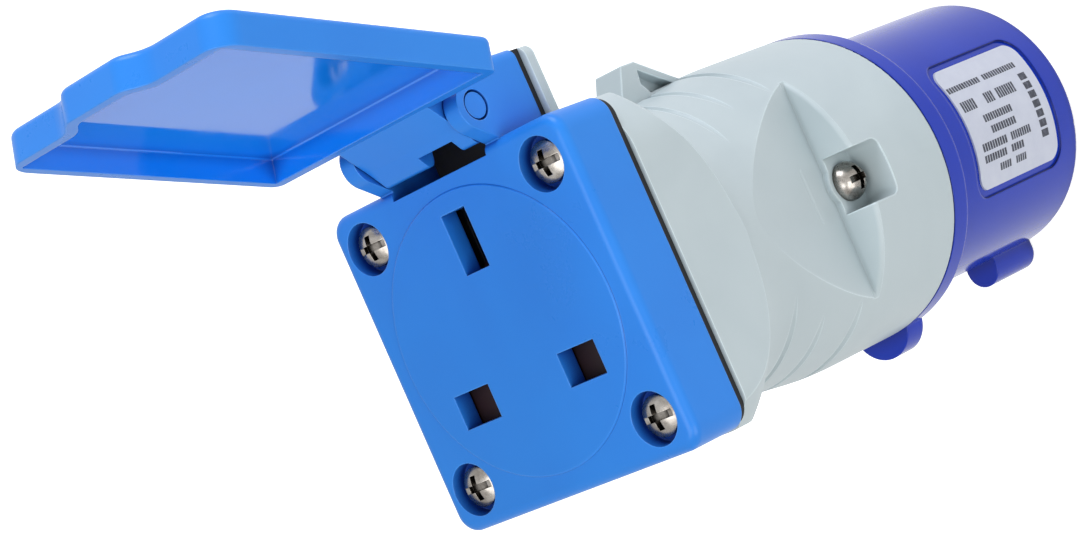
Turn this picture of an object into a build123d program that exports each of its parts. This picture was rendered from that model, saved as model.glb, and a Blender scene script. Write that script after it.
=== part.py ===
"""Power plug adapter: a 13 A socket under a hinged lid on one end, a round 16 A industrial plug on the other.

It stands on the open rim of the plug shroud, with +Z along the plug axis to the socket face, +Y towards the
lid hinge and the earth slot, and +X to the right of somebody who looks at the face. The origin lies on the
plug axis in the plane of the rim. The lid is drawn shut and then turned to the place where it stands open.
"""

import os
from math import cos, radians, sin

from build123d import *

os.makedirs("parts", exist_ok=True)

# Stack along the plug axis
shroud_length = 39.4
flange_thickness = 4.4
body_length = 65.7
gasket_thickness = 1.3
plate_depth = 10.7
flange_low = shroud_length
body_low = flange_low + flange_thickness
body_top = body_low + body_length
plate_back = body_top + gasket_thickness
face_z = plate_back + plate_depth

# Clearances
overrun = 5.0  # how far a cutter runs past the skin
slide_gap = 0.3  # between pieces that move past each other
pivot_gap = 0.05  # radial, on the hinge pin
seat_gap = 0.1  # between fixed pieces that drop into each other

# Girth: the standard sleeve of the plug, and the round collar of the body over it
shroud_radius = 21.5
collar_reach = 3.7
body_radius = shroud_radius + collar_reach

# Front plate
plate_setback = 0.2
plate_half = body_radius - plate_setback
plate_side = 2 * plate_half
plate_corner = 3.2
plate_front_round = 1.5
front_wall = 3.0
disc_margin = 3.55
disc_radius = plate_half - disc_margin
disc_rise = 0.25
disc_edge = 0.15
screw_inset = 6.0
screw_span = plate_side - 2 * screw_inset
counterbore_radius = 4.0
counterbore_depth = 2.7
shank_clearance_radius = 1.9
plate_rim = 3.8
recess_radius = plate_half - plate_rim

# Socket layout and slots, to the usual 13 A pattern
line_distance = 22.2
line_row_y = -8.2
earth_rise = 22.2
earth_y = line_row_y + earth_rise
line_x = line_distance / 2
line_slot_width, line_slot_height = 7.4, 5.1
earth_slot_width, earth_slot_height = 4.95, 9.1

# Hinge block on the plate
block_half = 13.0
ear_wall = 2.8
hinge_reach = 5.3
hinge_y = plate_half + hinge_reach
block_reach = 6.0
block_top_y = hinge_y + block_reach
block_corner = 1.6
block_front_drop = 0.7  # the block's square part ends this far under the face
hinge_rise = 0.7
hinge_z = face_z + hinge_rise
ear_radius = 3.6
ear_inner = block_half - ear_wall
knuckle_half = ear_inner - slide_gap
knuckle_sweep = 5.4
knuckle_slot_inset = 1.5
knuckle_slot_y = plate_half - knuckle_slot_inset
pin_radius = 1.3
pin_head_radius = 1.95
pin_head_length = 1.2
pin_head_ring = 0.3  # groove round the head
pin_head_sink = 0.15

# Lid, drawn shut
lid_margin = 0.5
lid_half = plate_half - lid_margin
lid_far_margin = 2.55
lid_far_y = -(plate_half - lid_far_margin)
lid_near_y = lid_half
lid_rim_lift = 1.0
lid_height = 5.1
lid_floor = 1.4
lid_wall = 1.6
lid_far_corner = 4.0
lid_near_corner = 1.5
lid_edge_round = 1.1
lid_inner_round = 0.3
lid_inner_corner = 0.6
lid_cavity_taper = 3.0  # degrees
tab_tip_half = 6.2
tab_root_half = 9.4
tab_reach = 2.4
tab_corner, tab_blend = 3.6, 6.0
tab_side_share = 0.33  # how much of a wall the tab's slanted sides move in
knuckle_radius = 2.75
lobe_radius = 1.0
lobe_reach = 3.9
lobe_angle = -59.0  # degrees, with the lid shut
arm_root_inset = 0.8
arm_root_y = lid_near_y - arm_root_inset
arm_low_lift = 1.2
arm_high_lift = 4.4
lid_open_angle = 108.0  # degrees from shut, as it stands in the photo
notch_low_x, notch_high_x = -0.5, 6.8

# Grey body: profile as radius and drop below the body's top face
square_reach = 0.1
body_half = body_radius + square_reach
body_corner = 4.8
body_hinge_corner = 9.4
flare_reach, flare_mid_reach, flare_end_reach = 8.1, 5.8, 0.3
flare_radius = body_radius + flare_reach
flare_mid_radius, flare_mid_drop = body_radius + flare_mid_reach, 8.0
flare_end_radius, flare_end_drop = body_radius + flare_end_reach, 14.3
waist_inset, grip_inset = 1.75, 0.5
collar_height = 15.7
collar_drop = body_length - collar_height
waist_share, grip_share = 0.51, 0.8  # of the way down to the collar
waist_radius, waist_drop = body_radius - waist_inset, waist_share * collar_drop
grip_radius, grip_drop = body_radius - grip_inset, grip_share * collar_drop
body_edge_round = 0.5
tongue_margin = 0.7
tongue_half = block_half + tongue_margin
tongue_inset = 0.3
tongue_top_y = block_top_y - tongue_inset
tongue_thickness = 1.8
gasket_inset = 0.35

# Scooped grips on both X sides
scoop_start_drop = 6.9
scoop_start_reach = 2.8
scoop_start_x = body_radius + scoop_start_reach
scoop_mid_depth, scoop_end_depth = 4.45, 7.4
scoop_mid_rise = 14.0
step_height = 20.2
step_drop = body_length - step_height
scoop_mid_x, scoop_mid_drop = body_radius - scoop_mid_depth, step_drop - scoop_mid_rise
scoop_end_x = body_radius - scoop_end_depth
step_round = 0.8
grip_wall = 2.2

# Screw pockets in the steps
side_screw_height = 17.1
side_screw_z = body_low + side_screw_height
seat_depth = 6.3
seat_x = body_radius - seat_depth
boss_radius = 3.9
pocket_half = 4.5
pocket_reach = 3.2
pocket_corner = 1.2
side_shank_radius = 1.5

# Grip grooves on both Y sides
groove_shares = (0.51, 0.66, 0.83)  # of the way down to the collar
groove_insets = (1.85, 1.25, 0.45)
groove_shifts = (1.7, 2.2, 2.7)
groove_cut_radius = 0.8
groove_rim = 0.1

# Lid catch on the +Y side of the body
catch_half = 2.8
catch_reach = 4.4
catch_top_y = body_radius + catch_reach
catch_share = 0.61  # of the way down to the collar
catch_front_drop = catch_share * collar_drop
catch_flat = 3.1
catch_lean = 4.0
catch_root_inset, catch_ramp_inset = 2.8, 0.9
catch_root_y = body_radius - catch_root_inset
catch_ramp_y = body_radius - catch_ramp_inset
catch_ramp = 9.2
catch_web = 0.9

# Cavity of the body
ledge_drop = 17.2
ledge_wall, cavity_wall = 5.0, 2.3
ledge_radius = body_radius - ledge_wall
cavity_radius = body_radius - cavity_wall
cavity_neck_height, cavity_wide_height = 27.7, 15.7
slope_margin = 5.7  # from the ledge down to where the wall slopes in behind the scoops
slope_drop = ledge_drop + slope_margin
seat_wall = 3.8
cavity_flat_x = seat_x - seat_wall
cavity_flat_half = 7.0
face_screw_bite = 8.0
thread_radius = 1.6

# Plug shroud
flange_round, flange_cove = 1.1, 0.8
shroud_wall = 2.5
shroud_bore = shroud_radius - shroud_wall
rim_round = 0.8
sleeve_radius = cavity_radius - slide_gap
sleeve_wall = 1.9
sleeve_bore = sleeve_radius - sleeve_wall
sleeve_length = 11.6
bead_rise = 0.6
bead_width = 1.2
bead_lift = 9.6
key_half = 3.0
key_rise = 4.0
key_length = 12.2
lug_radius = 5.4
lug_rise = 7.2
label_width, label_length, label_corner = 20.4, 23.6, 2.2
label_centre_z = 18.2
label_thickness = 0.3
label_margin = 1.2
label_sink = 0.05
seal_section = 1.4
seal_lift = 2.6

# Plug pins and their carrier
pin_circle_radius = 10.0
line_pin_radius = 2.5
earth_pin_radius = 3.0
line_pin_recess = 7.0
earth_pin_recess = 5.0
line_pin_angle = 30.0
pin_tip_round = 1.0
pin_root_rise = 0.3  # step of each pin where it enters the carrier's boss
pin_collar_rise = 0.8
pin_collar_length = 1.6
carrier_depth = 5.0  # how deep the carrier reaches into the shroud
carrier_face = shroud_length - carrier_depth
carrier_boss_radius = 4.6
carrier_boss_rise = 1.6
carrier_flange = 3.0
tail_radius = 2.7
tail_length = 11.2
post_thickness = 3.6
post_half = 3.2
post_top_height = 22.5
carrier_top = body_low + carrier_flange
tail_top = carrier_top + tail_length

# Screws
face_head_radius, face_head_height = 3.05, 2.3
side_head_radius, side_head_height = 3.05, 3.1
face_dome_share, side_dome_share = 0.4, 0.75
recess_arm_share = 0.62
recess_width_share = 0.34
recess_depth_share = 0.6
side_screw_length = 7.2

# Shutter and its spring
shutter_travel = 6.0
shutter_front = front_wall + slide_gap
shutter_thickness = 1.9
blank_half = 15.2
blank_overlap = 0.6
stem_half = 3.0
ramp_half = 2.0
ramp_depth = 6.0
spring_tab_half = 2.0
spring_tab_depth = 3.5
spring_wire_radius = 0.25
spring_coil_radius = 1.45
spring_turns = 5

# Socket base and contacts
base_front = shutter_front + shutter_thickness + slide_gap
base_back = plate_depth + gasket_thickness + ledge_drop
base_floor = 4.2
clip_leaf = 0.8
line_pocket_width, line_pocket_height = 8.4, 7.2
earth_pocket_width, earth_pocket_height = 7.2, 10.0
clip_gap = 3.7
line_clip_width = 5.6
earth_clip_width = 7.0
clip_lead = 3.0
terminal_side = 6.4
terminal_depth = 6.8
terminal_tail_radius = 1.6
terminal_screw_radius = 1.4
terminal_head_radius, terminal_head_height = 2.2, 1.2
terminal_corner = 0.8
wire_radius = 1.5
wire_bite = 4.0
wire_lead = 5.0
clip_flare = 0.5

# Pads of the socket base under the front wall
pad_side = 8.0
pad_x, pad_y = 11.0, 5.0


def depth(below_face):
    """Height of a plane that lies this far below the socket face."""
    return face_z - below_face


def cross_recess(head_radius, head_height, full_slot):
    """Driver recess of a pan head, cut down from the head's top at the local origin."""
    arm = 2 * head_radius * recess_arm_share
    width = head_radius * recess_width_share
    cut = head_height * recess_depth_share
    with BuildPart(mode=Mode.PRIVATE) as recess:
        Box(arm, width, 2 * cut)
        Box(width, arm, 2 * cut)
        if full_slot:
            Box(2 * head_radius, width, cut)
    return recess.part


def pan_screw(head_radius, head_height, dome_share, shank_radius, shank_length, full_slot):
    """Pan head screw that points down the local Z axis, with the seat of its head at the origin."""
    dome = head_height * dome_share
    with BuildPart(mode=Mode.PRIVATE) as screw:
        with BuildSketch(Plane.XZ):
            with BuildLine():
                Polyline((0, -shank_length), (shank_radius, -shank_length), (shank_radius, 0), (head_radius, 0))
                Line((head_radius, 0), (head_radius, head_height - dome))
                RadiusArc(
                    (head_radius, head_height - dome),
                    (0, head_height),
                    -(head_radius**2 + dome**2) / (2 * dome),
                )
                Line((0, head_height), (0, -shank_length))
            make_face()
        revolve(axis=Axis.Z)
        with Locations((0, 0, head_height)):
            add(cross_recess(head_radius, head_height, full_slot), mode=Mode.SUBTRACT)
    return screw.part


def sunk_plane(angle, radius, height):
    """Plane at a point on the plug axis' cylinder, with its Z axis pointing outwards."""
    return Plane(
        origin=Vector(radius, 0, height).rotate(Axis.Z, angle), x_dir=(0, 0, 1),
        z_dir=Vector(1, 0, 0).rotate(Axis.Z, angle),
    )


# Front plate with its hinge block
with BuildPart() as socket_faceplate:
    with BuildSketch(Plane.XY.offset(plate_back)):
        RectangleRounded(plate_side, plate_side, plate_corner)
    extrude(amount=plate_depth)
    fillet(socket_faceplate.faces().sort_by(Axis.Z)[-1].edges(), plate_front_round)
    with BuildSketch(Plane.XY.offset(face_z)):
        Circle(disc_radius)
    extrude(amount=disc_rise)
    chamfer(socket_faceplate.faces().sort_by(Axis.Z)[-1].edges(), disc_edge)
    with BuildSketch(Plane.YZ.offset(-block_half)):
        with BuildLine():
            CenterArc((hinge_y, hinge_z), ear_radius, 0, 360)
            Polyline(
                (plate_half, face_z - block_front_drop), (plate_half, plate_back), (block_top_y, plate_back),
                (block_top_y, face_z - block_front_drop), close=True,
            )
        make_hull()
    extrude(amount=2 * block_half)
    tops = socket_faceplate.edges().filter_by(Axis.Z).group_by(Axis.Y)[-1]
    fillet(tops, block_corner)
    # Root that carries the block over the plate's rounded edge
    with BuildSketch(Plane.XY.offset(plate_back)):
        with Locations((0, plate_half)):
            Rectangle(2 * block_half, 2 * plate_front_round)
    extrude(amount=plate_depth - block_front_drop)
    # Room for the lid's knuckle between the ears
    with BuildSketch(Plane.YZ.offset(-ear_inner)):
        with Locations((hinge_y, hinge_z)):
            Circle(knuckle_sweep)
        with Locations((knuckle_slot_y, plate_back)):
            Rectangle(hinge_y - knuckle_slot_y, plate_depth + overrun, align=(Align.MIN, Align.MIN))
        with Locations((knuckle_slot_y, face_z)):
            Rectangle(block_top_y - knuckle_slot_y + overrun, overrun, align=(Align.MIN, Align.MIN))
    extrude(amount=2 * ear_inner, mode=Mode.SUBTRACT)
    # Hinge bore with a seat for each pin head
    with BuildSketch(Plane.YZ.offset(-block_half - overrun)):
        with Locations((hinge_y, hinge_z)):
            Circle(pin_radius)
    extrude(amount=2 * (block_half + overrun), mode=Mode.SUBTRACT)
    for side in (-1, 1):
        with BuildSketch(Plane.YZ.offset(side * (block_half - pin_head_length))):
            with Locations((hinge_y, hinge_z)):
                Circle(pin_head_radius + pin_head_ring)
        extrude(amount=side * (pin_head_length + overrun), mode=Mode.SUBTRACT)
    # Hollow back and the run of the shutter
    with BuildSketch(Plane.XY.offset(plate_back)):
        Circle(recess_radius)
    extrude(amount=plate_depth - front_wall, mode=Mode.SUBTRACT)
    with BuildSketch(Plane.XY.offset(depth(base_front))):
        with Locations((0, line_row_y - line_slot_height / 2 - blank_overlap - shutter_travel - slide_gap)):
            Rectangle(2 * (blank_half + slide_gap), shutter_travel, align=(Align.CENTER, Align.MIN))
    extrude(amount=base_front - front_wall, mode=Mode.SUBTRACT)
    # Slots
    with BuildSketch(Plane.XY.offset(face_z + disc_rise)):
        with Locations((-line_x, line_row_y), (line_x, line_row_y)):
            Rectangle(line_slot_width, line_slot_height)
        with Locations((0, earth_y)):
            Rectangle(earth_slot_width, earth_slot_height)
    extrude(amount=-(front_wall + disc_rise), mode=Mode.SUBTRACT)
    # Screw holes
    with Locations(Plane.XY.offset(face_z)):
        with GridLocations(screw_span, screw_span, 2, 2):
            CounterBoreHole(shank_clearance_radius, counterbore_radius, counterbore_depth, depth=plate_depth)
socket_faceplate.part.label = "socket_faceplate"

# Hinge pin with a flush head at each end
with BuildPart() as hinge_pin:
    with BuildSketch(Plane.YZ.offset(-block_half + pin_head_length)):
        with Locations((hinge_y, hinge_z)):
            Circle(pin_radius)
    extrude(amount=2 * (block_half - pin_head_length))
    for side in (-1, 1):
        with BuildSketch(Plane.YZ.offset(side * (block_half - pin_head_length))):
            with Locations((hinge_y, hinge_z)):
                Circle(pin_head_radius)
        extrude(amount=side * (pin_head_length - pin_head_sink))
hinge_pin.part.label = "hinge_pin"

# Lid, drawn shut
rim_z = face_z + lid_rim_lift
ceiling_rise = lid_height - lid_floor


def lid_outline(inset, far_corner, near_corner):
    """Outline of the tray with its finger tab, this far inside the lid's skin."""
    root_half = tab_root_half - inset * tab_side_share
    tip_half = tab_tip_half - inset * tab_side_share
    tip_y = lid_far_y - tab_reach + inset
    with BuildSketch(Plane.XY.offset(rim_z), mode=Mode.PRIVATE) as outline:
        with Locations((0, lid_near_y - inset)):
            Rectangle(
                2 * (lid_half - inset), lid_near_y - lid_far_y - 2 * inset, align=(Align.CENTER, Align.MAX)
            )
        with BuildLine():
            Polyline(
                (-root_half, lid_far_y + inset), (-tip_half, tip_y), (tip_half, tip_y),
                (root_half, lid_far_y + inset), close=True,
            )
        make_face()
        if near_corner:
            fillet(outline.vertices().group_by(Axis.Y)[-1], near_corner)
        far_line = outline.vertices().group_by(Axis.Y)[1].sort_by(Axis.X)
        fillet((far_line[0], far_line[-1]), far_corner)
        fillet(outline.vertices().filter_by(lambda v: abs(abs(v.X) - root_half) < seat_gap), tab_blend)
        fillet(outline.vertices().group_by(Axis.Y)[0], tab_corner)
    return outline.sketch


with BuildPart() as lid:
    add(lid_outline(0, lid_far_corner, lid_near_corner))
    extrude(amount=lid_height)
    fillet(lid.faces().sort_by(Axis.Z)[-1].edges(), lid_edge_round)
    add(lid_outline(lid_wall, lid_inner_corner, 0))
    extrude(amount=ceiling_rise, taper=lid_cavity_taper, mode=Mode.SUBTRACT)
    ceiling = lid.faces().filter_by(Axis.Z).filter_by(
        lambda f: abs(f.center().Z - rim_z - ceiling_rise) < seat_gap
    )
    fillet(ceiling.edges(), lid_inner_round)
    # Arm, knuckle and the lobe that turns inside the hinge block
    with BuildSketch(Plane.YZ.offset(-knuckle_half)):
        with BuildLine():
            CenterArc((hinge_y, hinge_z), knuckle_radius, 0, 360)
            Line((arm_root_y, face_z + arm_low_lift), (arm_root_y, face_z + arm_high_lift))
        make_hull()
    extrude(amount=2 * knuckle_half)
    lobe_centre = Vector(lobe_reach, 0, 0).rotate(Axis.Z, lobe_angle)
    with BuildSketch(Plane.YZ.offset(-knuckle_half)):
        with BuildLine():
            CenterArc((hinge_y, hinge_z), knuckle_radius, 0, 360)
            CenterArc((hinge_y + lobe_centre.X, hinge_z + lobe_centre.Y), lobe_radius, 0, 360)
        make_hull()
    extrude(amount=2 * knuckle_half)
    # Notch in the lobe
    with BuildSketch(Plane.YZ.offset(notch_low_x)):
        with Locations(Location((hinge_y, hinge_z, 0), (0, 0, lobe_angle))):
            with Locations((knuckle_radius, 0)):
                Rectangle(overrun, 2 * knuckle_sweep, align=(Align.MIN, Align.CENTER))
    extrude(amount=notch_high_x - notch_low_x, mode=Mode.SUBTRACT)
    with BuildSketch(Plane.YZ.offset(-knuckle_half - overrun)):
        with Locations((hinge_y, hinge_z)):
            Circle(pin_radius + pivot_gap)
    extrude(amount=2 * (knuckle_half + overrun), mode=Mode.SUBTRACT)
hinge_axis = Axis((0, hinge_y, hinge_z), (1, 0, 0))
lid_open = lid.part.rotate(hinge_axis, -lid_open_angle)
lid_open.label = "lid"

# Gasket between plate and body
with BuildPart() as gasket:
    with BuildSketch(Plane.XY.offset(body_top)):
        RectangleRounded(plate_side - 2 * gasket_inset, plate_side - 2 * gasket_inset, plate_corner)
        with Locations((0, plate_half - plate_corner)):
            Rectangle(
                2 * (block_half - gasket_inset), block_top_y - gasket_inset - plate_half + plate_corner,
                align=(Align.CENTER, Align.MIN),
            )
        Circle(recess_radius, mode=Mode.SUBTRACT)
        with GridLocations(screw_span, screw_span, 2, 2):
            Circle(shank_clearance_radius, mode=Mode.SUBTRACT)
    extrude(amount=gasket_thickness)
gasket.part.label = "gasket"

# Room inside the body
with BuildPart() as cavity:
    with BuildSketch(Plane.XZ):
        with BuildLine():
            Polyline(
                (0, body_low), (cavity_radius, body_low), (cavity_radius, body_low + cavity_wide_height),
                (ledge_radius, body_low + cavity_neck_height), (ledge_radius, body_top - ledge_drop),
                (recess_radius, body_top - ledge_drop), (recess_radius, body_top), (0, body_top), close=True,
            )
        make_face()
        # Groove for the bead of the shroud's sleeve
        with Locations((cavity_radius, body_low + bead_lift)):
            Rectangle(2 * bead_rise, bead_width + slide_gap)
    revolve(axis=Axis.Z)
    for side in (-1, 1):
        with BuildSketch(Plane.XZ.offset(-plate_half)):
            with BuildLine():
                Polyline(
                    (side * cavity_flat_x, body_top - step_drop - grip_wall),
                    (side * ledge_radius, body_top - slope_drop),
                    (side * (cavity_radius + overrun), body_top - slope_drop),
                    (side * (cavity_radius + overrun), body_top - step_drop - grip_wall),
                    close=True,
                )
            make_face()
        extrude(amount=plate_side, mode=Mode.SUBTRACT)
        with BuildSketch(Plane.YZ.offset(side * cavity_flat_x)):
            with Locations((0, body_top - step_drop - grip_wall)):
                Rectangle(2 * cavity_flat_half, 2 * (pocket_reach + grip_wall))
        extrude(amount=side * plate_half, mode=Mode.SUBTRACT)

# Grip grooves, deepest in the middle of each Y side
groove_cuts = []
for side, kept in ((-1, Keep.TOP), (1, Keep.BOTTOM)):
    with BuildPart() as groove_cut:
        for share, inset, shift in zip(groove_shares, groove_insets, groove_shifts):
            with Locations((0, -side * shift, body_top - share * collar_drop)):
                Torus(body_radius - inset + shift + groove_rim, groove_cut_radius)
        split(bisect_by=Plane.XZ, keep=kept)
    groove_cuts.append(groove_cut.part)

# Rounding of the step edges
with BuildPart() as step_relief:
    with BuildSketch(Plane.XZ):
        with Locations((body_radius - step_round, body_top - step_drop - step_round)):
            Rectangle(2 * step_round, 2 * step_round, align=(Align.MIN, Align.MIN))
            Circle(step_round, mode=Mode.SUBTRACT)
    revolve(axis=Axis.Z)
    with BuildSketch(Plane.XY.offset(body_low)):
        Rectangle(2 * scoop_end_x, plate_side + 2 * overrun)
    extrude(amount=body_length, mode=Mode.SUBTRACT)

# Grey body
with BuildPart() as body_housing:
    with BuildSketch(Plane.XZ):
        with BuildLine():
            ThreePointArc(
                (flare_radius, body_top), (flare_mid_radius, body_top - flare_mid_drop),
                (flare_end_radius, body_top - flare_end_drop),
            )
            Spline(
                (flare_end_radius, body_top - flare_end_drop), (waist_radius, body_top - waist_drop),
                (grip_radius, body_top - grip_drop), (body_radius, body_top - collar_drop),
                tangents=((-1, -2), (0, -1)),
            )
            Polyline((body_radius, body_top - collar_drop), (body_radius, body_low), (0, body_low))
            Polyline((0, body_low), (0, body_top), (flare_radius, body_top))
        make_face()
    revolve(axis=Axis.Z)
    with BuildSketch(Plane.XY.offset(body_low)) as body_square:
        Rectangle(2 * body_half, 2 * body_half)
        fillet(body_square.vertices().group_by(Axis.Y)[0], body_corner)
        fillet(body_square.vertices().group_by(Axis.Y)[-1], body_hinge_corner)
    extrude(amount=body_length, mode=Mode.INTERSECT)
    fillet(body_housing.faces().sort_by(Axis.Z)[0].edges(), body_edge_round)
    # Tongue under the hinge block
    with BuildSketch(Plane.XY.offset(body_top)) as tongue:
        with Locations((0, plate_half - plate_corner)):
            Rectangle(
                2 * tongue_half, tongue_top_y - plate_half + plate_corner, align=(Align.CENTER, Align.MIN)
            )
        fillet(tongue.vertices().group_by(Axis.Y)[-1], block_corner)
    extrude(amount=-tongue_thickness)
    # Scooped grips, each ending in a step
    for side in (-1, 1):
        with BuildSketch(Plane.XZ.offset(-plate_half - overrun)):
            with BuildLine():
                ThreePointArc(
                    (side * scoop_start_x, body_top - scoop_start_drop),
                    (side * scoop_mid_x, body_top - scoop_mid_drop),
                    (side * scoop_end_x, body_top - step_drop),
                )
                Polyline(
                    (side * scoop_end_x, body_top - step_drop), (side * flare_radius, body_top - step_drop),
                    (side * flare_radius, body_top - scoop_start_drop),
                    (side * scoop_start_x, body_top - scoop_start_drop),
                )
            make_face()
        extrude(amount=plate_side + 2 * overrun, mode=Mode.SUBTRACT)
    add(step_relief.part, mode=Mode.SUBTRACT)
    # Seats of the side screws, let into the steps
    for side in (-1, 1):
        with BuildSketch(Plane.YZ.offset(side * cavity_flat_x)):
            with Locations((0, side_screw_z)):
                Circle(boss_radius)
        extrude(amount=side * (seat_x - cavity_flat_x))
        with BuildSketch(Plane.YZ.offset(side * seat_x)):
            with Locations((0, side_screw_z + pocket_reach)):
                RectangleRounded(2 * pocket_half, 4 * pocket_reach, pocket_corner)
        extrude(amount=side * plate_half, mode=Mode.SUBTRACT)
    for groove_cut in groove_cuts:
        add(groove_cut, mode=Mode.SUBTRACT)
    # Lid catch
    catch_z = body_top - catch_front_drop
    with BuildSketch(Plane.YZ.offset(-catch_half)):
        with BuildLine():
            Polyline(
                (catch_root_y, catch_z + catch_lean), (catch_top_y, catch_z),
                (catch_top_y, catch_z - catch_flat),
                (catch_ramp_y, catch_z - catch_flat - catch_ramp),
                (catch_root_y, catch_z - catch_flat - catch_ramp), close=True,
            )
        make_face()
    extrude(amount=2 * catch_half)
    for side in (-1, 1):
        with BuildSketch(Plane.YZ.offset(side * catch_web)):
            with BuildLine():
                Polyline(
                    (catch_top_y - 3 * catch_web / 2, catch_z - catch_flat),
                    (catch_ramp_y + catch_web / 3, catch_z - catch_flat - catch_ramp + 3 * catch_web),
                    (catch_ramp_y, catch_z - catch_flat - catch_web),
                    (catch_top_y - 4 * catch_web, catch_z - catch_flat + catch_web / 2), close=True,
                )
            make_face()
        extrude(amount=side * catch_half, mode=Mode.SUBTRACT)
    add(cavity.part, mode=Mode.SUBTRACT)
    # Screw holes
    with BuildSketch(Plane.XY.offset(body_top)):
        with GridLocations(screw_span, screw_span, 2, 2):
            Circle(thread_radius)
    extrude(amount=-face_screw_bite, mode=Mode.SUBTRACT)
    with BuildSketch(Plane.YZ.offset(-plate_half)):
        with Locations((0, side_screw_z)):
            Circle(side_shank_radius)
    extrude(amount=plate_side, mode=Mode.SUBTRACT)
body_housing.part.label = "body_housing"

# Fasteners
face_shank = plate_depth - counterbore_depth + gasket_thickness + face_screw_bite
with BuildPart() as face_screws:
    with Locations(Plane.XY.offset(depth(counterbore_depth))):
        with GridLocations(screw_span, screw_span, 2, 2) as spots:
            add(pan_screw(face_head_radius, face_head_height, face_dome_share, thread_radius, face_shank, True))
face_screws.part.label = "face_screws"

with BuildPart() as side_screws:
    for angle in (0, 180):
        with Locations(sunk_plane(angle, seat_x, side_screw_z)):
            add(pan_screw(
                side_head_radius, side_head_height, side_dome_share, side_shank_radius, side_screw_length, False,
            ))
side_screws.part.label = "side_screws"

# Shutter behind the front wall
blank_y = line_row_y - line_slot_height / 2 - blank_overlap
blank_height = line_slot_height + 2 * blank_overlap
ramp_low_y = earth_y - earth_slot_height / 2 + slide_gap
ramp_top_y = ramp_low_y + shutter_travel
spring_z = depth(shutter_front + spring_coil_radius + 2 * spring_wire_radius)
with BuildPart() as shutter:
    with BuildSketch(Plane.XY.offset(depth(shutter_front))):
        with Locations((0, blank_y)):
            Rectangle(2 * blank_half, blank_height, align=(Align.CENTER, Align.MIN))
            Rectangle(2 * stem_half, ramp_low_y - blank_y, align=(Align.CENTER, Align.MIN))
    extrude(amount=-shutter_thickness)
    with BuildSketch(Plane.YZ.offset(-ramp_half)):
        with BuildLine():
            Polyline(
                (ramp_low_y - ramp_depth / 2, depth(shutter_front)), (ramp_low_y, depth(shutter_front)),
                (ramp_top_y, depth(shutter_front + ramp_depth - slide_gap)),
                (ramp_top_y, depth(shutter_front + ramp_depth)),
                (ramp_low_y, depth(shutter_front + ramp_depth)),
                (ramp_low_y - ramp_depth / 2, depth(shutter_front + shutter_thickness)), close=True,
            )
        make_face()
    extrude(amount=2 * ramp_half)
    with BuildSketch(Plane.XY.offset(depth(shutter_front))):
        with Locations((0, blank_y)):
            Rectangle(2 * spring_tab_half, shutter_thickness, align=(Align.CENTER, Align.MIN))
    extrude(amount=-spring_tab_depth)
shutter.part.label = "shutter"

# Return spring: one wire, wound along Y between the shutter and the wall of the plate's recess
spring_length = blank_y + recess_radius - 2 * spring_wire_radius - slide_gap
spring_pitch = spring_length / spring_turns
spring_start = (0, blank_y - spring_wire_radius - slide_gap / 2, spring_z)
with BuildPart() as shutter_spring:
    with BuildLine():
        Helix(spring_pitch, spring_length, spring_coil_radius, center=spring_start, direction=(0, -1, 0))
    wire_path = shutter_spring.pending_edges[0]
    with BuildSketch(Plane(origin=wire_path @ 0, z_dir=wire_path % 0)):
        Circle(spring_wire_radius)
    sweep(path=wire_path, is_frenet=True)
shutter_spring.part.label = "shutter_spring"
turn_points = [wire_path @ (k / (40 * spring_turns)) for k in range(40 * spring_turns + 1)]
self_gap = min(
    (turn_points[j] - turn_points[i]).length - 2 * spring_wire_radius
    for i in range(len(turn_points))
    for j in range(i + 20, len(turn_points))
)
print("shutter_spring gap between its turns", round(self_gap, 2), "mm")

# Socket base
with BuildPart() as socket_base:
    with BuildSketch(Plane.XY.offset(depth(base_back))):
        Circle(recess_radius - slide_gap)
    extrude(amount=base_back - base_front)
    with BuildSketch(Plane.XY.offset(depth(base_front))):
        with Locations((-line_x, line_row_y), (line_x, line_row_y)):
            Rectangle(line_pocket_width, line_pocket_height)
        with Locations((0, earth_y)):
            Rectangle(earth_pocket_width, earth_pocket_height)
    extrude(amount=-(base_back - base_front - base_floor), mode=Mode.SUBTRACT)
    # Channels for the ramp and for the spring with its tab
    ramp_channel = ramp_low_y - ramp_depth / 2 - shutter_travel - slide_gap
    with BuildSketch(Plane.XY.offset(depth(base_front))):
        with Locations((0, ramp_channel)):
            Rectangle(2 * (ramp_half + slide_gap), earth_y - ramp_channel, align=(Align.CENTER, Align.MIN))
    extrude(amount=-(shutter_front + ramp_depth + slide_gap - base_front), mode=Mode.SUBTRACT)
    with BuildSketch(Plane.XY.offset(depth(base_front))):
        with Locations((0, -recess_radius)):
            Rectangle(
                2 * (spring_tab_half + slide_gap), recess_radius + blank_y + shutter_thickness + slide_gap,
                align=(Align.CENTER, Align.MIN),
            )
    extrude(amount=-(shutter_front + spring_tab_depth + 2 * slide_gap - base_front), mode=Mode.SUBTRACT)
    with BuildSketch(Plane.XY.offset(depth(base_back))):
        with Locations((-line_x, line_row_y), (line_x, line_row_y), (0, earth_y)):
            Circle(terminal_tail_radius)
    extrude(amount=base_floor, mode=Mode.SUBTRACT)
    with BuildSketch(Plane.XY.offset(depth(base_front))):
        with Locations((-pad_x, pad_y), (pad_x, pad_y)):
            Rectangle(pad_side, pad_side)
    extrude(amount=base_front - front_wall)
socket_base.part.label = "socket_base"


# Contacts, their screws and wires
foot_z = depth(base_back - base_floor)
lead_z = depth(shutter_front + ramp_depth + slide_gap + clip_leaf)
terminal_z = depth(base_back) - terminal_depth
leaf_y = (clip_gap + clip_leaf) / 2


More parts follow.
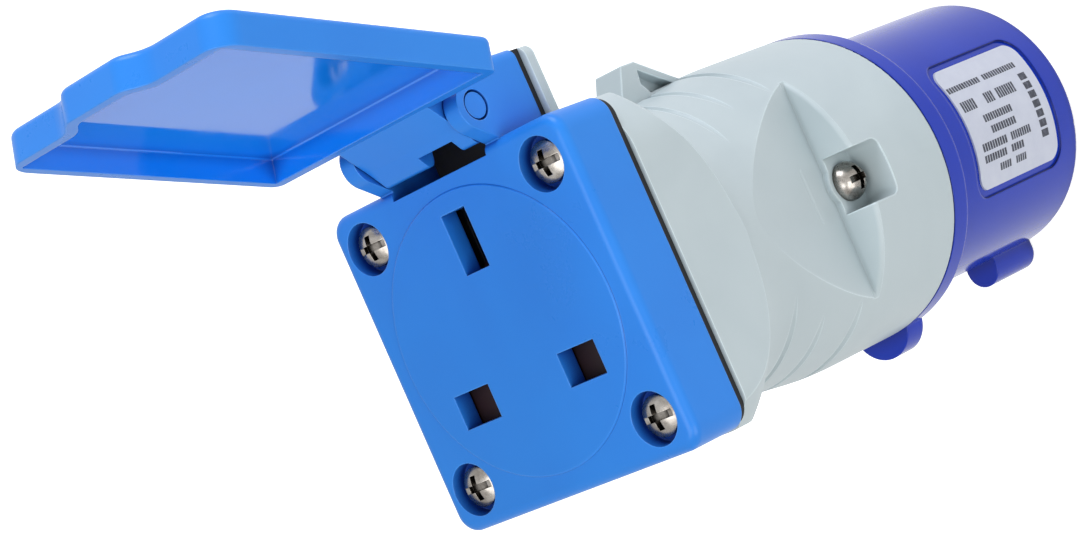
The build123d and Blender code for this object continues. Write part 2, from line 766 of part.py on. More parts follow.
def contact_clip(x, y, width, turn):
    """Two spring leaves on a foot, a tail through the base's floor and a terminal behind it."""
    with BuildPart(mode=Mode.PRIVATE) as clip:
        with BuildSketch(Plane.YZ.offset(-width / 2)):
            with BuildLine():
                Polyline(
                    (-leaf_y - clip_flare, lead_z), (-leaf_y, lead_z - clip_lead),
                    (-leaf_y, foot_z + clip_leaf / 2), (leaf_y, foot_z + clip_leaf / 2),
                    (leaf_y, lead_z - clip_lead), (leaf_y + clip_flare, lead_z),
                )
            trace(line_width=clip_leaf)
        extrude(amount=width)
        with BuildSketch(Plane.XY.offset(foot_z)):
            Circle(terminal_tail_radius)
        extrude(amount=-base_floor)
        with BuildSketch(Plane.XY.offset(terminal_z)):
            RectangleRounded(terminal_side, terminal_side, terminal_corner)
            Circle(wire_radius, mode=Mode.SUBTRACT)
        extrude(amount=wire_bite)
        with BuildSketch(Plane.XY.offset(terminal_z + wire_bite)):
            RectangleRounded(terminal_side, terminal_side, terminal_corner)
        extrude(amount=terminal_depth - wire_bite)
        with BuildSketch(Plane.XZ.offset(terminal_side)):
            with Locations((0, terminal_z + wire_bite / 2)):
                Circle(terminal_screw_radius)
        extrude(amount=-terminal_side, mode=Mode.SUBTRACT)
    return clip.part.rotate(Axis.Z, turn).translate((x, y, 0))


live_clip = contact_clip(line_x, line_row_y, line_clip_width, 0)
live_clip.label = "live_clip"
neutral_clip = contact_clip(-line_x, line_row_y, line_clip_width, 0)
neutral_clip.label = "neutral_clip"
earth_clip = contact_clip(0, earth_y, earth_clip_width, 90)
earth_clip.label = "earth_clip"


def terminal_screw(origin, angle, tail_half):
    """Clamping screw whose head sits this far out from a terminal's axis, at an angle about Z."""
    out = Vector(1, 0, 0).rotate(Axis.Z, angle)
    seat = Plane(origin=Vector(*origin) + out * tail_half, x_dir=(0, 0, 1), z_dir=out)
    screw = pan_screw(
        terminal_head_radius, terminal_head_height, face_dome_share,
        terminal_screw_radius, tail_half - wire_radius, False,
    )
    return seat.location * screw


screw_z = terminal_z + wire_bite / 2
with BuildPart() as clip_terminal_screws:
    for x, y, angle in ((line_x, line_row_y, -90), (-line_x, line_row_y, -90), (0, earth_y, 0)):
        add(terminal_screw((x, y, screw_z), angle, terminal_side / 2))
clip_terminal_screws.part.label = "clip_terminal_screws"

# Plug pins, each with a collar inside the carrier and a drilled tail
pin_dx = pin_circle_radius * cos(radians(line_pin_angle))
pin_dy = pin_circle_radius * sin(radians(line_pin_angle))


def plug_pin(x, y, angle, radius, tip_z):
    """Solid contact pin along Z with its tail above the carrier."""
    collar = radius + pin_collar_rise
    root_z = carrier_face - carrier_boss_rise
    with BuildPart(mode=Mode.PRIVATE) as pin:
        with BuildSketch(Plane.XZ):
            with BuildLine():
                Line((0, tip_z), (radius - pin_tip_round, tip_z))
                RadiusArc((radius - pin_tip_round, tip_z), (radius, tip_z + pin_tip_round), -pin_tip_round)
                Polyline(
                    (radius, tip_z + pin_tip_round), (radius, root_z), (radius + pin_root_rise, root_z),
                    (radius + pin_root_rise, flange_low), (collar, flange_low),
                    (collar, flange_low + pin_collar_length), (radius, flange_low + pin_collar_length),
                    (radius, carrier_top), (tail_radius, carrier_top), (tail_radius, tail_top),
                    (wire_radius, tail_top), (wire_radius, tail_top - wire_lead), (0, tail_top - wire_lead),
                    (0, tip_z),
                )
            make_face()
        revolve(axis=Axis.Z)
        with BuildSketch(Plane.YZ):
            with Locations((0, tail_top - wire_lead / 2)):
                Circle(terminal_screw_radius)
        extrude(amount=2 * tail_radius, mode=Mode.SUBTRACT)
    return pin.part.rotate(Axis.Z, angle).translate((x, y, 0))


live_pin = plug_pin(pin_dx, pin_dy, line_pin_angle, line_pin_radius, line_pin_recess)
live_pin.label = "live_pin"
neutral_pin = plug_pin(-pin_dx, pin_dy, 180 - line_pin_angle, line_pin_radius, line_pin_recess)
neutral_pin.label = "neutral_pin"
earth_pin = plug_pin(0, -pin_circle_radius, -90, earth_pin_radius, earth_pin_recess)
earth_pin.label = "earth_pin"

tail_screw_z = tail_top - wire_lead / 2
with BuildPart() as pin_terminal_screws:
    for x, y, angle in (
        (pin_dx, pin_dy, line_pin_angle),
        (-pin_dx, pin_dy, 180 - line_pin_angle),
        (0, -pin_circle_radius, -90),
    ):
        add(terminal_screw((x, y, tail_screw_z), angle, tail_radius))
pin_terminal_screws.part.label = "pin_terminal_screws"


def wire(start_x, start_y, end_x, end_y):
    """Insulated wire from a socket terminal down into the tail of a plug pin."""
    top, bottom = terminal_z, tail_top
    with BuildPart(mode=Mode.PRIVATE) as strand:
        with BuildLine():
            Line((start_x, start_y, top + wire_bite), (start_x, start_y, top - wire_lead))
            Spline(
                (start_x, start_y, top - wire_lead), (end_x, end_y, bottom + wire_lead),
                tangents=((0, 0, -1), (0, 0, -1)),
            )
            Line((end_x, end_y, bottom + wire_lead), (end_x, end_y, bottom - wire_lead))
        with BuildSketch(Plane(origin=(start_x, start_y, top + wire_bite), z_dir=(0, 0, -1))):
            Circle(wire_radius)
        sweep()
    return strand.part


live_wire = wire(line_x, line_row_y, pin_dx, pin_dy)
live_wire.label = "live_wire"
neutral_wire = wire(-line_x, line_row_y, -pin_dx, pin_dy)
neutral_wire.label = "neutral_wire"
earth_wire = wire(0, earth_y, 0, -pin_circle_radius)
earth_wire.label = "earth_wire"

# Carrier of the plug pins
with BuildPart() as pin_carrier:
    with BuildSketch(Plane.XY.offset(carrier_face)):
        Circle(shroud_bore - seat_gap)
    extrude(amount=body_low - carrier_face)
    with BuildSketch(Plane.XY.offset(body_low)):
        Circle(sleeve_bore - seat_gap)
    extrude(amount=carrier_flange)
    with BuildSketch(Plane.XY.offset(carrier_face)):
        with Locations((pin_dx, pin_dy), (-pin_dx, pin_dy), (0, -pin_circle_radius)):
            Circle(carrier_boss_radius)
    extrude(amount=-carrier_boss_rise)
    with BuildSketch(Plane.XY.offset(carrier_top)):
        for side in (-1, 1):
            with Locations((side * (cavity_flat_x - slide_gap - post_thickness / 2), 0)):
                Rectangle(post_thickness, 2 * post_half)
    extrude(amount=body_low + post_top_height - carrier_top)
    for plug_contact in (live_pin, neutral_pin, earth_pin):
        add(plug_contact, mode=Mode.SUBTRACT)
    with BuildSketch(Plane.YZ.offset(-plate_half)):
        with Locations((0, side_screw_z)):
            Circle(side_shank_radius)
    extrude(amount=plate_side, mode=Mode.SUBTRACT)
pin_carrier.part.label = "pin_carrier"

# Shroud of the plug, with its flange and the sleeve inside the body
label_seat = shroud_radius - label_thickness - label_sink
with BuildPart() as shroud_key:
    with BuildSketch(Plane.XY):
        with Locations((0, -shroud_radius - key_rise + key_half)):
            Circle(key_half)
        with Locations((0, -shroud_radius - key_rise + key_half)):
            Rectangle(2 * key_half, key_rise, align=(Align.CENTER, Align.MIN))
        Circle(shroud_radius - rim_round, mode=Mode.SUBTRACT)
    extrude(amount=key_length)
    key_bottom = shroud_key.edges().group_by(Axis.Z)[0].sort_by(Axis.Y)[:-1]
    fillet(key_bottom.filter_by(lambda e: e.center().Y < -shroud_radius), rim_round)

with BuildPart() as plug_shroud:
    with BuildSketch(Plane.XY):
        Circle(shroud_radius)
        Circle(shroud_bore, mode=Mode.SUBTRACT)
    extrude(amount=flange_low)
    fillet(plug_shroud.faces().sort_by(Axis.Z)[0].edges(), rim_round)
    add(shroud_key.part)
    with BuildSketch(Plane.XY.offset(flange_low)):
        Circle(body_radius)
        Circle(shroud_radius - flange_cove, mode=Mode.SUBTRACT)
    extrude(amount=flange_thickness)
    rims = plug_shroud.edges().filter_by(GeomType.CIRCLE)
    fillet(rims.filter_by(lambda e: abs(e.radius - body_radius) < seat_gap).sort_by(Axis.Z)[0], flange_round)
    roots = plug_shroud.edges().filter_by(GeomType.CIRCLE).filter_by(
        lambda e: abs(e.center().Z - flange_low) < seat_gap and abs(e.radius - shroud_radius) < seat_gap
    )
    fillet(roots, flange_cove)
    with BuildSketch(Plane.XY.offset(flange_low)):
        with Locations((0, -shroud_radius - lug_rise + lug_radius)):
            Circle(lug_radius)
    extrude(amount=flange_thickness)
    with BuildSketch(Plane.XZ):
        with BuildLine():
            Polyline(
                (shroud_bore, body_low - flange_thickness), (sleeve_radius, body_low - flange_thickness),
                (sleeve_radius, body_low + bead_lift - bead_width / 2),
                (sleeve_radius + bead_rise, body_low + bead_lift),
                (sleeve_radius + bead_rise, body_low + bead_lift + bead_width / 4),
                (sleeve_radius, body_low + bead_lift + bead_width / 2),
                (sleeve_radius, body_low + sleeve_length), (shroud_bore, body_low + sleeve_length), close=True,
            )
        make_face()
        with Locations((cavity_radius, body_low + seal_lift)):
            Rectangle(2 * seal_section, seal_section + 2 * seat_gap, mode=Mode.SUBTRACT)
    revolve(axis=Axis.Z)
    with BuildSketch(Plane.XY.offset(shroud_bore)):
        Circle(shroud_bore)
    extrude(amount=body_low - shroud_bore, mode=Mode.SUBTRACT)
    with BuildSketch(Plane.XY.offset(body_low)):
        Circle(sleeve_bore)
    extrude(amount=sleeve_length + overrun, mode=Mode.SUBTRACT)
    # Recess of the label
    with BuildSketch(Plane.YZ.offset(shroud_bore - shroud_wall)):
        with Locations((0, label_centre_z)):
            RectangleRounded(
                label_width + 2 * label_margin, label_length + 2 * label_margin, label_corner + label_margin
            )
    extrude(amount=body_radius - shroud_bore, mode=Mode.SUBTRACT)
    with BuildSketch(Plane.XY.offset(rim_round)):
        Circle(label_seat)
        Circle(shroud_bore, mode=Mode.SUBTRACT)
    extrude(amount=flange_low - rim_round)
plug_shroud.part.label = "plug_shroud"

# Label, bent round the shroud
with BuildPart() as rating_label:
    with BuildSketch(Plane.YZ.offset(shroud_bore - shroud_wall)):
        with Locations((0, label_centre_z)):
            RectangleRounded(label_width, label_length, label_corner)
    extrude(amount=body_radius - shroud_bore)
    with BuildSketch(Plane.XY):
        Circle(label_seat + label_thickness)
        Circle(label_seat, mode=Mode.SUBTRACT)
    extrude(amount=flange_low, mode=Mode.INTERSECT)
rating_label.part.label = "rating_label"

# Sealing ring between shroud and body
with BuildPart() as flange_seal:
    with Locations((0, 0, body_low + seal_lift)):
        Torus(cavity_radius - seal_section / 2, seal_section / 2)
flange_seal.part.label = "flange_seal"

for piece in (
    socket_faceplate, hinge_pin, gasket, body_housing, face_screws, side_screws, shutter, shutter_spring,
    socket_base, clip_terminal_screws, pin_carrier, pin_terminal_screws, plug_shroud, rating_label, flange_seal,
):
    export_step(piece.part, "parts/" + piece.part.label + ".step")
for piece in (
    lid_open, live_clip, neutral_clip, earth_clip, live_pin, neutral_pin, earth_pin, live_wire, neutral_wire,
    earth_wire,
):
    export_step(piece, "parts/" + piece.label + ".step")
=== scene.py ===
"""Looks of the power plug adapter: materials, print on the label, studio light and the photo's camera."""

import math

import bmesh
import bpy
from mathutils import Matrix, Vector


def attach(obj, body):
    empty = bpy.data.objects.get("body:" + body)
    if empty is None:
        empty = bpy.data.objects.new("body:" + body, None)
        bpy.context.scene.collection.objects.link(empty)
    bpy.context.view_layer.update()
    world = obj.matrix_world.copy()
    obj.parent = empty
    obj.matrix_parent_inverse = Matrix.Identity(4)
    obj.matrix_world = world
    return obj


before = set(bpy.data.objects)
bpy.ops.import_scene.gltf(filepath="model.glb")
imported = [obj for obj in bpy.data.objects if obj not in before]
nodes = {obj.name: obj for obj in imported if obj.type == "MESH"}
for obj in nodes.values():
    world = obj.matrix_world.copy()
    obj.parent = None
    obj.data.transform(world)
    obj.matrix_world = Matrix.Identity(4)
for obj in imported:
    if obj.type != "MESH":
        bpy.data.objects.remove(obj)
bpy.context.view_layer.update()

scene = bpy.context.scene
scene.view_settings.view_transform = "Standard"

MM = 0.001
FACE_Z = 121.5 * MM
SHROUD_R = 21.5 * MM
WHITE = (1.0, 1.0, 1.0)


def is_socket(value):
    return hasattr(value, "is_output")


def rgba(colour):
    return (*colour, 1.0)


class Tree:
    """Short hand for building the node tree of a material or of the world."""

    def __init__(self, owner, output="ShaderNodeOutputMaterial"):
        owner.use_nodes = True
        self.owner = owner
        self.t = owner.node_tree
        self.t.nodes.clear()
        self.out = self.new(output)
        self.place = None

    def new(self, kind, **props):
        n = self.t.nodes.new(kind)
        for key, value in props.items():
            setattr(n, key, value)
        return n

    def put(self, socket, value):
        if is_socket(value):
            self.t.links.new(value, socket)
        else:
            socket.default_value = value

    def fill(self, n, **inputs):
        """Set or link a node's inputs by name, with _ for a space."""
        for key, value in inputs.items():
            self.put(n.inputs[key.replace("_", " ")], value)
        return n

    def surface(self, shader):
        self.put(self.out.inputs["Surface"], shader)

    # Patterns and sums

    def coord(self):
        if self.place is None:
            self.place = self.new("ShaderNodeTexCoord").outputs["Object"]
        return self.place

    def noise(self, scale, detail=4.0, rough=0.55, distort=0.0):
        n = self.new("ShaderNodeTexNoise")
        self.fill(n, Scale=scale, Detail=detail, Roughness=rough, Distortion=distort, Vector=self.coord())
        return n.outputs["Fac"]

    def math(self, op, a, b):
        n = self.new("ShaderNodeMath", operation=op)
        self.put(n.inputs[0], a)
        self.put(n.inputs[1], b)
        return n.outputs[0]

    def remap(self, value, lo, hi, to_lo=0.0, to_hi=1.0):
        n = self.new("ShaderNodeMapRange")
        self.fill(n, Value=value, From_Min=lo, From_Max=hi, To_Min=to_lo, To_Max=to_hi)
        return n.outputs["Result"]

    def mix(self, fac, a, b):
        n = self.new("ShaderNodeMix", data_type="RGBA")
        self.put(n.inputs[0], fac)
        self.put(n.inputs[6], a if is_socket(a) else rgba(a))
        self.put(n.inputs[7], b if is_socket(b) else rgba(b))
        return n.outputs[2]

    # Edges, gaps and relief

    def bevel(self, radius):
        return self.fill(self.new("ShaderNodeBevel", samples=8), Radius=radius).outputs["Normal"]

    def bend(self, soft):
        """One on plain faces, less where the softened normal turns away at an edge."""
        n = self.new("ShaderNodeVectorMath", operation="DOT_PRODUCT")
        self.put(n.inputs[0], soft)
        self.put(n.inputs[1], self.new("ShaderNodeNewGeometry").outputs["Normal"])
        return n.outputs["Value"]

    def crevice(self, reach):
        """One in the open, falling to nought in gaps narrower than the reach."""
        return self.fill(self.new("ShaderNodeAmbientOcclusion", samples=16), Distance=reach).outputs["AO"]

    def bump(self, height, strength, distance, normal=None):
        n = self.fill(self.new("ShaderNodeBump"), Strength=strength, Distance=distance, Height=height)
        if normal is not None:
            self.put(n.inputs["Normal"], normal)
        return n.outputs["Normal"]

    # Shaders and the rays that see them

    def principled(self, **inputs):
        self.surface(self.fill(self.new("ShaderNodeBsdfPrincipled"), **inputs).outputs[0])

    def glow(self, kind, colour, strength):
        return self.fill(self.new(kind), Color=rgba(colour), Strength=strength).outputs[0]

    def blend(self, fac, a, b):
        n = self.new("ShaderNodeMixShader")
        for socket, value in zip(n.inputs, (fac, a, b)):
            self.put(socket, value)
        return n.outputs[0]

    def seen_by(self, first, *others):
        """One for the named kinds of ray."""
        path = self.new("ShaderNodeLightPath").outputs
        fac = path[first]
        for ray in others:
            fac = self.math("MAXIMUM", fac, path[ray])
        return fac


def material_tree(name):
    return Tree(bpy.data.materials.new(name))


# Noise scales of the plastics, in cycles per metre
FLOW, WAVE, DUST, SPECK, GRAIN = 38.0, 55.0, 160.0, 900.0, 2600.0
RELIEF = 0.02 * MM
# Tone of the painted shade in crevices, a factor on the base colour
CREVICE_SHADE_TONE = (0.4, 0.4, 0.5)


def plastic(name, base, light, dark, rough, grain=0.25, edge=0.25, depth=2.5, crevice_shade=CREVICE_SHADE_TONE, ior=1.5, edge_highlight=0.0):
    """Moulded plastic with flow marks, grain and dust.

    Crevices narrower than depth (mm) are darkened with painted shade in the given shade tone, edges are rounded
    by edge (mm), and a painted highlight of the given strength makes their bend paler.
    """
    t = material_tree(name)
    flow = t.noise(FLOW, 3.0, 0.5, 0.6)
    speck = t.noise(SPECK, 2.0, 0.6)
    dust = t.noise(DUST, 6.0, 0.7, 0.3)
    colour = t.mix(t.remap(flow, 0.35, 0.65), dark, light)
    colour = t.mix(t.remap(flow, 0.2, 0.8, 0.35, 0.65), colour, base)
    colour = t.mix(t.remap(speck, 0.62, 0.8, 0.0, 0.10), colour, light)
    # Painted shade: crevices narrower than depth darken towards the base colour times the shade tone
    shaded = tuple(c * g for c, g in zip(base, crevice_shade))
    open_air = t.crevice(depth * MM)
    colour = t.mix(t.remap(open_air, 0.25, 0.8), shaded, colour)
    roughness = t.remap(t.math("ADD", flow, dust), 0.7, 1.3, rough - 0.05, rough + 0.07)
    soft = t.bevel(edge * MM)
    # Painted highlight: the bend of edges out in the open is lightened towards a paler base colour
    if edge_highlight:
        edge_highlight_colour = tuple(min(1.0, c * 1.35 + 0.05) for c in base)
        outer = t.remap(open_air, 0.8, 0.95)
        colour = t.mix(t.math("MULTIPLY", t.remap(t.bend(soft), 0.95, 0.998, edge_highlight, 0.0), outer), colour, edge_highlight_colour)
    fine = t.math("ADD", t.math("MULTIPLY", t.noise(GRAIN, 3.0, 0.6), 0.7), t.math("MULTIPLY", dust, 0.3))
    normal = t.bump(fine, grain, RELIEF, soft)
    wavy = t.bump(t.noise(WAVE, 2.0, 0.5), 0.12, 0.25 * MM, normal)
    t.principled(Base_Color=colour, Roughness=roughness, Normal=wavy, IOR=ior)
    return t.owner


def metal(name, light, dark, rough, tool_marks=900.0, edge=0.12):
    """Plated or turned metal with fine tool marks, stains, and grime with painted shade darkening its recesses.
    """
    t = material_tree(name)
    stain = t.noise(420.0, 5.0, 0.65, 0.4)
    lines = t.noise(tool_marks, 3.0, 0.7, 0.2)
    colour = t.mix(t.remap(stain, 0.35, 0.7), light, dark)
    # Painted shade and grime: recesses within 1.2 mm darken nearly to black
    grime_and_shade = tuple(c * 0.12 for c in dark)
    colour = t.mix(t.remap(t.crevice(1.2 * MM), 0.35, 0.85), grime_and_shade, colour)
    roughness = t.remap(lines, 0.3, 0.7, rough - 0.06, rough + 0.12)
    normal = t.bump(lines, 0.18, RELIEF, t.bevel(edge * MM))
    t.principled(Base_Color=colour, Roughness=roughness, Metallic=1.0, Normal=normal)
    return t.owner


def rubber(name, base, light):
    """Dull seal rubber with a little dust."""
    t = material_tree(name)
    dust = t.noise(300.0, 6.0, 0.7)
    colour = t.mix(t.remap(dust, 0.5, 0.8, 0.0, 0.5), base, light)
    normal = t.bump(t.noise(1800.0, 3.0), 0.3, 0.03 * MM, t.bevel(0.1 * MM))
    t.principled(Base_Color=colour, Roughness=t.remap(dust, 0.3, 0.7, 0.6, 0.8), Normal=normal)
    return t.owner


def label_foil():
    """Satin foil with a faint lilac tone and a few stains."""
    t = material_tree("label_foil")
    stain = t.noise(350.0, 4.0, 0.6)
    colour = t.mix(t.remap(stain, 0.3, 0.7), (0.62, 0.65, 0.74), (0.57, 0.60, 0.70))
    normal = t.bump(t.noise(700.0, 3.0), 0.1, 0.03 * MM)
    t.principled(Base_Color=colour, Roughness=0.40, Metallic=0.15, Normal=normal)
    return t.owner


def label_ink():
    """Slightly worn dark print."""
    t = material_tree("label_ink")
    worn = t.noise(1500.0, 3.0, 0.6)
    colour = t.mix(t.remap(worn, 0.45, 0.8, 0.0, 0.6), (0.035, 0.04, 0.06), (0.22, 0.23, 0.30))
    t.principled(Base_Color=colour, Roughness=0.5)
    return t.owner


# Colours are base, light and dark, then the tone of the painted shade in crevices and the strength of the
# painted edge highlight
BLUE_CREVICE_SHADE = (0.25, 0.20, 0.40)
azure = plastic(
    "azure_plastic", (0.024, 0.234, 0.77), (0.027, 0.252, 0.80), (0.021, 0.216, 0.74),
    rough=0.31, grain=0.07, edge=0.35, depth=4.5, crevice_shade=BLUE_CREVICE_SHADE, ior=1.36, edge_highlight=0.5,
)
azure_gloss = plastic(
    "azure_gloss", (0.004, 0.228, 0.86), (0.006, 0.242, 0.89), (0.003, 0.214, 0.83),
    rough=0.07, grain=0.02, edge=0.25, depth=4.0, crevice_shade=BLUE_CREVICE_SHADE, ior=1.74, edge_highlight=0.25,
)
violet = plastic(
    "violet_plastic", (0.003, 0.033, 0.44), (0.005, 0.038, 0.47), (0.002, 0.028, 0.41),
    rough=0.11, grain=0.05, edge=0.4, depth=4.5, crevice_shade=(0.3, 0.3, 0.35), ior=1.34, edge_highlight=0.2,
)
grey = plastic(
    "grey_plastic", (0.51, 0.59, 0.61), (0.55, 0.63, 0.65), (0.47, 0.55, 0.575),
    rough=0.42, grain=0.3, edge=0.45, depth=1.5, crevice_shade=(0.74, 0.76, 0.77), edge_highlight=0.9,
)
black = plastic("black_plastic", (0.02, 0.02, 0.022), (0.03, 0.03, 0.03), (0.012, 0.012, 0.014), rough=0.45)
red_brown = plastic(
    "shutter_plastic", (0.014, 0.003, 0.003), (0.022, 0.004, 0.004), (0.010, 0.002, 0.002), rough=0.5, ior=1.35,
)
seal = rubber("black_rubber", (0.008, 0.008, 0.009), (0.025, 0.025, 0.025))
nickel = metal("nickel_steel", (0.43, 0.405, 0.375), (0.18, 0.16, 0.14), rough=0.24)
wire_steel = metal("spring_steel", (0.55, 0.55, 0.54), (0.4, 0.4, 0.4), rough=0.3)
brass = metal("brass", (0.80, 0.60, 0.28), (0.66, 0.46, 0.19), rough=0.24, tool_marks=1300.0)
brown = plastic("brown_wire", (0.16, 0.06, 0.025), (0.19, 0.075, 0.03), (0.13, 0.05, 0.02), rough=0.45)
blue = plastic("blue_wire", (0.03, 0.15, 0.55), (0.04, 0.18, 0.6), (0.02, 0.12, 0.5), rough=0.45)
green = plastic("green_wire", (0.10, 0.42, 0.06), (0.13, 0.46, 0.08), (0.08, 0.37, 0.05), rough=0.45)
foil = label_foil()
ink = label_ink()

LOOK = {
    "socket_faceplate": azure, "lid": azure, "hinge_pin": azure, "gasket": seal, "body_housing": grey,
    "face_screws": nickel, "side_screws": nickel, "shutter": red_brown, "shutter_spring": wire_steel,
    "socket_base": black, "live_clip": brass, "neutral_clip": brass, "earth_clip": brass,
    "clip_terminal_screws": nickel, "live_wire": brown, "neutral_wire": blue, "earth_wire": green,
    "pin_carrier": black, "live_pin": brass, "neutral_pin": brass, "earth_pin": brass,
    "pin_terminal_screws": nickel, "plug_shroud": violet, "rating_label": foil, "flange_seal": seal,
}
for name, material in LOOK.items():
    data = nodes[name].data
    data.materials.clear()
    data.materials.append(material)


# The lid is polished inside its tray, and satin on its skin like the face plate.
# Its rest pose is open by this angle. The tray's bounds are those of the shut lid, from the hinge axis.
LID_OPEN = math.radians(108.0)
HINGE_Y, HINGE_Z = 30.3 * MM, 122.2 * MM
TRAY_HALF_X, TRAY_NEAR_Y, TRAY_MID_Y = 23.6 * MM, -6.6 * MM, -30.0 * MM
TRAY_RIM_Z, TRAY_CEILING_Z = 0.35 * MM, 4.1 * MM
FACING_DOWN = -0.3


def shut(y, z):
    """Turn a direction or an offset from the hinge from the open lid to the shut one."""
    c, s = math.cos(LID_OPEN), math.sin(LID_OPEN)
    return c * y - s * z, s * y + c * z


def polish_tray(lid):
    """Give the faces that line the lid's tray the glossy material."""
    lid.data.materials.append(azure_gloss)
    turn = lid.matrix_world.to_3x3()
    for face in lid.data.polygons:
        p, n = lid.matrix_world @ face.center, turn @ face.normal
        y, z = shut(p.y - HINGE_Y, p.z - HINGE_Z)
        n_y, n_z = shut(n.y, n.z)
        inside = abs(p.x) < TRAY_HALF_X and y < TRAY_NEAR_Y and TRAY_RIM_Z < z < TRAY_CEILING_Z
        inward = n.x * -p.x + n_y * (TRAY_MID_Y - y) > 0
        face.material_index = int(inside and (n_z < FACING_DOWN or inward))


polish_tray(nodes["lid"])


# Plain ruling on the label: rows of short blocks along the plug's axis and one bolder row round it.
# Each row is its angle in degrees, its height in mm round the plug and its spans in mm along the axis.
LABEL_R = SHROUD_R - 0.05 * MM
PRINT_THICKNESS = 0.02 * MM
ARC_STEP = 2.0  # degrees
BLOCK, BLOCK_GAP = 0.50, 0.20
ROWS = [
    (17.7, 1.0, ((9.6, 19.4), (20.4, 29.8))),
    (8.8, 1.8, ((13.2, 18.6), (19.6, 22.2), (25.0, 29.0))),
    (0.9, 1.2, ((16.7, 25.1),)),
    (-4.5, 1.2, ((16.9, 24.2),)),
    (-10.5, 1.3, ((13.6, 19.6), (20.8, 28.1))),
    (-15.5, 1.2, ((16.4, 20.2), (21.6, 28.2))),
    (-21.0, 1.2, ((16.2, 19.4), (20.8, 24.2))),
]
BOLD_Z, BOLD_HEIGHT = 9.6, 2.0
BOLD_START, BOLD_END = 13.0, -18.0  # degrees
BOLD_BLOCKS, BOLD_SHARE = 7, 0.74


def print_block(mesh, low, high, start, end):
    """Thin block of print on the label between two heights in mm and two angles in degrees."""
    steps = max(2, math.ceil(abs(end - start) / ARC_STEP))
    outer = LABEL_R + PRINT_THICKNESS
    corners = [(LABEL_R, low), (outer, low), (outer, high), (LABEL_R, high)]
    rings = []
    for k in range(steps + 1):
        a = math.radians(start + (end - start) * k / steps)
        rings.append([mesh.verts.new((r * math.cos(a), r * math.sin(a), z * MM)) for r, z in corners])
    for first, second in zip(rings, rings[1:]):
        for i in range(4):
            j = (i + 1) % 4
            mesh.faces.new((first[i], first[j], second[j], second[i]))
    mesh.faces.new(rings[0][::-1])
    mesh.faces.new(rings[-1])


def label_print():
    mesh = bmesh.new()
    per_mm = math.degrees(MM / LABEL_R)
    for angle, height, spans in ROWS:
        half = height / 2 * per_mm
        for low, high in spans:
            count = max(1, round((high - low) / (BLOCK + BLOCK_GAP)))
            pitch = (high - low) / count
            for k in range(count):
                start = low + k * pitch
                print_block(mesh, start, start + pitch - BLOCK_GAP, angle - half, angle + half)
    pitch = (BOLD_END - BOLD_START) / BOLD_BLOCKS
    low, high = BOLD_Z - BOLD_HEIGHT / 2, BOLD_Z + BOLD_HEIGHT / 2
    for k in range(BOLD_BLOCKS):
        start = BOLD_START + k * pitch
        print_block(mesh, low, high, start, start + BOLD_SHARE * pitch)
    bmesh.ops.recalc_face_normals(mesh, faces=mesh.faces)
    data = bpy.data.meshes.new("label_print")
    mesh.to_mesh(data)
    mesh.free()
    data.materials.append(ink)
    piece = bpy.data.objects.new("label_print", data)
    scene.collection.objects.link(piece)
    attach(piece, "base")


label_print()


# Floor and world: white to the camera and in reflections, plain light for everything else
FLOOR_SIZE, FLOOR_DROP = 6.0, 0.4 * MM
PAPER, PAPER_GLOW = (0.86, 0.86, 0.86), 0.75
SKY, SKY_STRENGTH = (0.97, 0.985, 1.0), 0.29


def make_floor():
    bpy.ops.mesh.primitive_plane_add(size=FLOOR_SIZE, location=(0, 0, -FLOOR_DROP))
    floor = bpy.context.object
    floor.name = "studio_floor"
    t = material_tree("floor_paper")
    paper = t.fill(t.new("ShaderNodeBsdfDiffuse"), Color=rgba(PAPER)).outputs[0]
    edge_highlight_colour = t.new("ShaderNodeAddShader")
    t.put(edge_highlight_colour.inputs[0], paper)
    t.put(edge_highlight_colour.inputs[1], t.glow("ShaderNodeEmission", WHITE, PAPER_GLOW))
    direct = t.blend(t.seen_by("Is Camera Ray"), paper, edge_highlight_colour.outputs[0])
    mirrored = t.seen_by("Is Glossy Ray", "Is Transmission Ray")
    t.surface(t.blend(mirrored, direct, t.glow("ShaderNodeEmission", WHITE, 1.0)))
    floor.data.materials.append(t.owner)


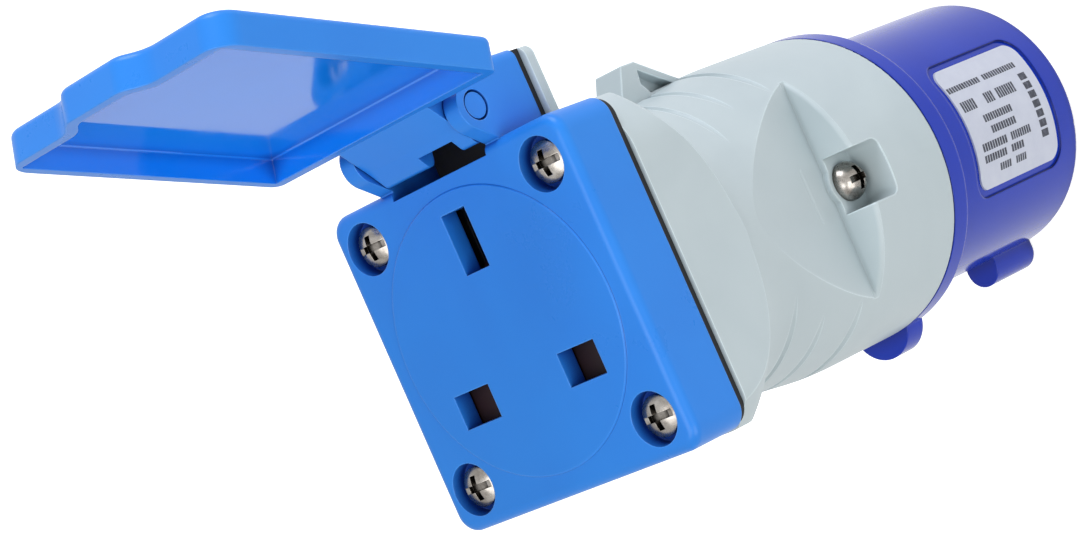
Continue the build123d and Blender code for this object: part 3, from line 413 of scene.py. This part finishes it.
def make_world():
    scene.world = bpy.data.worlds.new("studio")
    t = Tree(scene.world, "ShaderNodeOutputWorld")
    light = t.glow("ShaderNodeBackground", SKY, SKY_STRENGTH)
    backdrop = t.glow("ShaderNodeBackground", WHITE, 1.0)
    t.surface(t.blend(t.seen_by("Is Camera Ray", "Is Glossy Ray", "Is Transmission Ray"), light, backdrop))


def area_lamp(name, place, size, power, colour=WHITE):
    """Square lamp in metres and watts that points at the middle of the adapter."""
    data = bpy.data.lights.new(name, "AREA")
    data.shape = "SQUARE"
    data.size = size
    data.energy = power
    data.color = colour
    lamp = bpy.data.objects.new(name, data)
    scene.collection.objects.link(lamp)
    lamp.location = place
    lamp.rotation_euler = (LAMP_AIM - Vector(place)).to_track_quat("-Z", "Y").to_euler()


make_floor()
make_world()
LAMP_AIM = Vector((0.0, 0.01, 0.085))
area_lamp("key_lamp", (0.12, 0.75, 0.40), 0.45, 4.4, (0.91, 0.93, 1.0))
area_lamp("fill_lamp", (0.62, -0.33, 0.40), 0.5, 2.3)
area_lamp("front_lamp", (0.08, -0.12, 0.79), 0.5, 2.3)


# Camera at the photo's place, fitted to the slots, the plate and the screws
SENSOR_WIDTH, LENS = 36.0, 102.33
CLIP_START, CLIP_END = 0.01, 20.0
CAMERA_PLACE = (0.302299, -0.000273, FACE_Z + 0.308237)
CAMERA_RIGHT = Vector((0.660603, -0.403693, -0.632958))
CAMERA_DOWN = Vector((-0.302866, -0.914770, 0.267335))
CAMERA_FORWARD = Vector((-0.686932, 0.015099, -0.726565))

camera_data = bpy.data.cameras.new("photo_camera")
camera_data.sensor_width = SENSOR_WIDTH
camera_data.lens = LENS
camera_data.clip_start, camera_data.clip_end = CLIP_START, CLIP_END
camera = bpy.data.objects.new("photo_camera", camera_data)
scene.collection.objects.link(camera)
camera_turn = Matrix((CAMERA_RIGHT, -CAMERA_DOWN, -CAMERA_FORWARD)).transposed().to_4x4()
camera.matrix_world = Matrix.Translation(CAMERA_PLACE) @ camera_turn
scene.camera = camera
